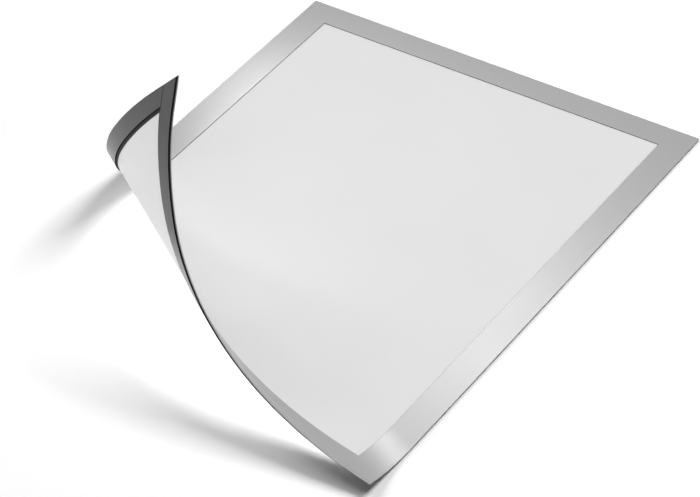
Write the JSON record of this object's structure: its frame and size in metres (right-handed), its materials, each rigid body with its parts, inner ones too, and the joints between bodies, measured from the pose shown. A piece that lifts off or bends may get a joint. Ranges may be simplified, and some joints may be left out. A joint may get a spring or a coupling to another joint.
{
  "type": "magnetic photo frame",
  "caption": "Flexible magnetic frame for a portrait sheet: silver border ring over a matt window film, dark magnet strips behind, one lower corner peeled up and rolled over.",
  "frame": {"origin": "centre of the flat frame, on the plane of the magnets' backs, which is the surface that the frame holds to", "axes": "+X across the page to the right, +Y up the page, +Z out of the front"},
  "size_m": [0.2366, 0.3223, 0.1147],
  "materials": {
    "silver_film": "satin silver print",
    "window_film": "matt translucent",
    "black_core": "matt black",
    "magnet_rubber": "calendered dark grey",
    "adhesive_tape": "dark adhesive"
  },
  "bodies": {
    "frame": {"silver_face": "silver_film", "window_film": "window_film", "core_ring": "black_core", "top_magnet": "magnet_rubber", "left_magnet": "magnet_rubber", "right_magnet": "magnet_rubber", "top_tape": "adhesive_tape", "left_tape": "adhesive_tape", "right_tape": "adhesive_tape"},
    "peeled_corner": {"silver_face_flap": "silver_film", "window_film_flap": "window_film", "core_ring_flap": "black_core", "left_magnet_flap": "magnet_rubber", "right_magnet_flap": "magnet_rubber", "bottom_magnet": "magnet_rubber", "left_tape_flap": "adhesive_tape", "right_tape_flap": "adhesive_tape", "bottom_tape": "adhesive_tape"}
  },
  "joints": [
    {"name": "corner_peel", "type": "hinge", "parent": "frame", "child": "peeled_corner", "pos_m": [0, -0.0563, 0.00128], "axis": [-0.868, 0.4965, 0], "range_deg": [0, 60]}
  ]
}
